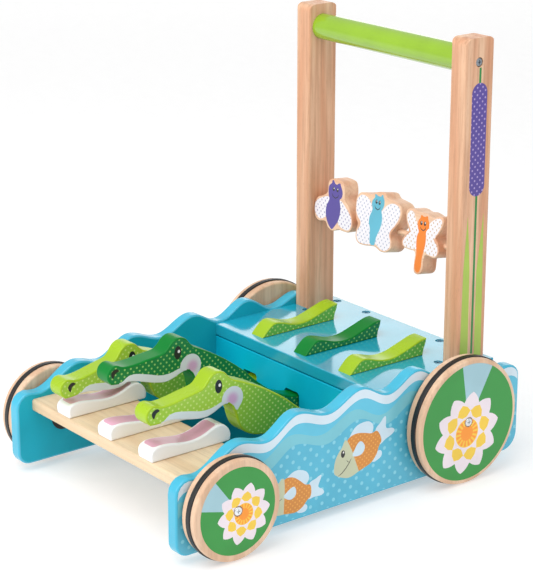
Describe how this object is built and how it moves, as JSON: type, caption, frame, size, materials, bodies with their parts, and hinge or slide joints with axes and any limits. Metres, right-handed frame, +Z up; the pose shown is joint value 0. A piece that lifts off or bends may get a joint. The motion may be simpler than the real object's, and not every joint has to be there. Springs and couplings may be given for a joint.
{
  "type": "baby walker",
  "caption": "Wooden push-along baby walker with an upright handle, rolling wheels, snapping alligator heads and spinning insect blocks.",
  "frame": {"origin": "floor level, centred between the side panels' ends and sides", "axes": "+X to the walker's right seen from behind the front, +Y from the noses towards the handle, +Z up"},
  "size_m": [0.3354, 0.435, 0.445],
  "materials": {
    "side_blue": "satin paint on wood",
    "box_blue": "satin paint on wood",
    "lid_blue": "satin paint on wood",
    "plain_wood": "clear satin lacquer",
    "post_wood": "clear satin lacquer",
    "wheel_wood": "clear satin lacquer",
    "insect_wood": "clear satin lacquer",
    "hidden_wood": "bare sanded wood",
    "handle_green": "gloss paint on wood",
    "light_green": "satin paint on wood",
    "dark_green": "satin paint on wood",
    "jaw_white": "satin paint on wood",
    "black_rubber": "matte",
    "black_plastic": "matte",
    "screw_steel": "zinc plated",
    "blue_screw": "satin paint on steel"
  },
  "bodies": {
    "walker_body": {"side_panel_left": "side_blue", "side_panel_right": "side_blue", "front_board": "plain_wood", "box_front_panel": "box_blue", "box_rear_panel": "box_blue", "bottom_board": "box_blue", "box_lid": "lid_blue", "corner_block_left": "hidden_wood", "corner_block_right": "hidden_wood", "post_left": "post_wood", "post_right": "post_wood", "handle_bar": "handle_green", "insect_rod": "plain_wood", "lower_jaw_left": "jaw_white", "lower_jaw_middle": "jaw_white", "lower_jaw_right": "jaw_white", "tail_left": "light_green", "tail_middle": "dark_green", "tail_right": "light_green", "pivot_rod": "hidden_wood", "arm_spacers": "black_plastic", "front_bushing_left": "black_plastic", "front_bushing_right": "black_plastic", "rear_bushing_left": "black_plastic", "rear_bushing_right": "black_plastic", "handle_screws": "screw_steel", "lid_screws": "blue_screw", "board_screws": "screw_steel", "rear_panel_screws": "screw_steel", "post_screws": "screw_steel", "panel_dowels": "hidden_wood"},
    "front_wheels": {"front_axle": "hidden_wood", "front_wheel_left": "wheel_wood", "front_wheel_right": "wheel_wood", "front_tire_left": "black_rubber", "front_tire_right": "black_rubber", "front_wheel_screws": "screw_steel"},
    "rear_wheels": {"rear_axle": "hidden_wood", "rear_wheel_left": "wheel_wood", "rear_wheel_right": "wheel_wood", "rear_tire_left": "black_rubber", "rear_tire_right": "black_rubber", "rear_wheel_screws": "screw_steel", "cam_left": "hidden_wood", "cam_middle": "hidden_wood", "cam_right": "hidden_wood"},
    "head_left": {"alligator_left": "light_green"},
    "head_middle": {"alligator_middle": "dark_green"},
    "head_right": {"alligator_right": "light_green"},
    "bee_block": {"bee": "insect_wood"},
    "butterfly_block": {"butterfly": "insect_wood"},
    "dragonfly_block": {"dragonfly": "insect_wood"}
  },
  "joints": [
    {"name": "front_axle_spin", "type": "hinge", "parent": "walker_body", "child": "front_wheels", "pos_m": [0, -0.164, 0.051], "axis": [1, 0, 0], "continuous": true},
    {"name": "rear_axle_spin", "type": "hinge", "parent": "walker_body", "child": "rear_wheels", "pos_m": [0, 0.1254, 0.067], "axis": [1, 0, 0], "continuous": true},
    {"name": "head_left_swing", "type": "hinge", "parent": "walker_body", "child": "head_left", "pos_m": [0, 0.062, 0.058], "axis": [-1, 0, 0], "range_deg": [-1.1, 8]},
    {"name": "head_middle_swing", "type": "hinge", "parent": "walker_body", "child": "head_middle", "pos_m": [0, 0.062, 0.058], "axis": [-1, 0, 0], "range_deg": [-8.5, 0.6]},
    {"name": "head_right_swing", "type": "hinge", "parent": "walker_body", "child": "head_right", "pos_m": [0, 0.062, 0.058], "axis": [-1, 0, 0], "range_deg": [-4.5, 4.6]},
    {"name": "bee_spin", "type": "hinge", "parent": "walker_body", "child": "bee_block", "pos_m": [0, 0.16, 0.225], "axis": [1, 0, 0], "continuous": true},
    {"name": "butterfly_spin", "type": "hinge", "parent": "walker_body", "child": "butterfly_block", "pos_m": [0, 0.16, 0.225], "axis": [1, 0, 0], "continuous": true},
    {"name": "dragonfly_spin", "type": "hinge", "parent": "walker_body", "child": "dragonfly_block", "pos_m": [0, 0.16, 0.225], "axis": [1, 0, 0], "continuous": true}
  ]
}
